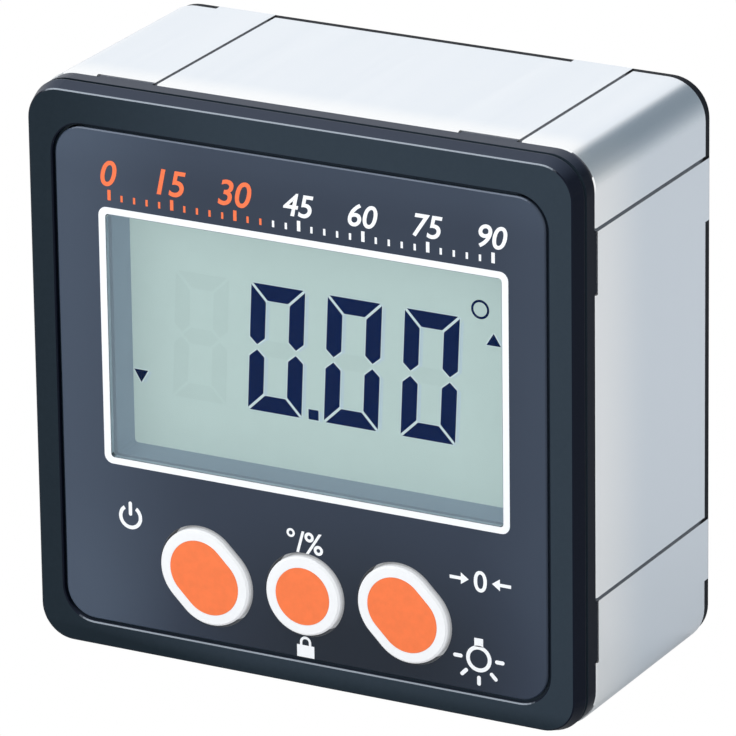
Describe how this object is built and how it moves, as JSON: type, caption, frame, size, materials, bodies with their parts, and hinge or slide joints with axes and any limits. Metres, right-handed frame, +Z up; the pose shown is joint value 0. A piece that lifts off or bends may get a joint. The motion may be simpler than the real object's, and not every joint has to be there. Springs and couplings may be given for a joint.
{
  "type": "inclinometer",
  "caption": "Pocket digital inclinometer: square aluminium frame, black moulded front and back, deep-set display, slanted keys, magnetic base and battery door.",
  "frame": {"origin": "bottom centre of the bounding box, on the base face of the aluminium frame", "axes": "+Z up, +X to the right seen from the front, the display and the keys face -Y"},
  "size_m": [0.06, 0.0292, 0.0584],
  "materials": {
    "frame_aluminium": "satin",
    "case_black": "fine texture",
    "label_grey": "satin print",
    "lens_clear": "polished",
    "tub_grey": "satin",
    "display_glass": "satin",
    "guide_clear": "polished",
    "led_white": "gloss",
    "zebra_rubber": "satin",
    "key_white": "satin",
    "key_orange": "satin",
    "switch_black": "moulded",
    "plunger_black": "moulded",
    "board_green": "solder mask",
    "chip_black": "moulded",
    "part_ceramic": "satin",
    "screw_steel": "plated",
    "magnet_nickel": "plated",
    "contact_nickel": "plated",
    "cell_jacket": "printed film",
    "foam_black": "open cell",
    "lead_red": "satin",
    "lead_black": "satin"
  },
  "bodies": {
    "case": {"back_cover": "case_black", "backlight_leds": "led_white", "base_magnets": "magnet_nickel", "battery_tray": "case_black", "bezel_screws": "screw_steel", "board_parts": "part_ceramic", "board_screws": "screw_steel", "bridge_contact": "contact_nickel", "cell_lower": "cell_jacket", "cell_upper": "cell_jacket", "controller_chip": "chip_black", "cover_screws": "screw_steel", "crystal": "screw_steel", "display_window": "lens_clear", "front_bezel": "case_black", "front_label": "label_grey", "lcd_backlight": "guide_clear", "lcd_glass": "display_glass", "lcd_holder": "tub_grey", "lead_negative": "lead_black", "lead_positive": "lead_red", "lower_contact": "contact_nickel", "main_board": "board_green", "side_frame": "frame_aluminium", "spring_lower": "contact_nickel", "spring_upper": "contact_nickel", "switch_body_left": "switch_black", "switch_body_middle": "switch_black", "switch_body_right": "switch_black", "tilt_sensor": "chip_black", "upper_contact": "contact_nickel", "zebra_strip": "zebra_rubber"},
    "key_left": {"key_rim_left": "key_white", "key_cap_left": "key_orange", "switch_plunger_left": "plunger_black"},
    "key_middle": {"key_rim_middle": "key_white", "key_cap_middle": "key_orange", "switch_plunger_middle": "plunger_black"},
    "key_right": {"key_rim_right": "key_white", "key_cap_right": "key_orange", "switch_plunger_right": "plunger_black"},
    "door": {"battery_door": "case_black", "door_foam": "foam_black"}
  },
  "joints": [
    {"name": "key_left_press", "type": "slide", "parent": "case", "child": "key_left", "axis": [0, 1, 0], "range_m": [0, 0.0005], "stiffness_N_per_m": 600, "springref_m": -0.0005},
    {"name": "key_middle_press", "type": "slide", "parent": "case", "child": "key_middle", "axis": [0, 1, 0], "range_m": [0, 0.0005], "stiffness_N_per_m": 600, "springref_m": -0.0005},
    {"name": "key_right_press", "type": "slide", "parent": "case", "child": "key_right", "axis": [0, 1, 0], "range_m": [0, 0.0005], "stiffness_N_per_m": 600, "springref_m": -0.0005},
    {"name": "door_lift", "type": "slide", "parent": "case", "child": "door", "axis": [0, 1, 0], "range_m": [0, 0.02]}
  ]
}
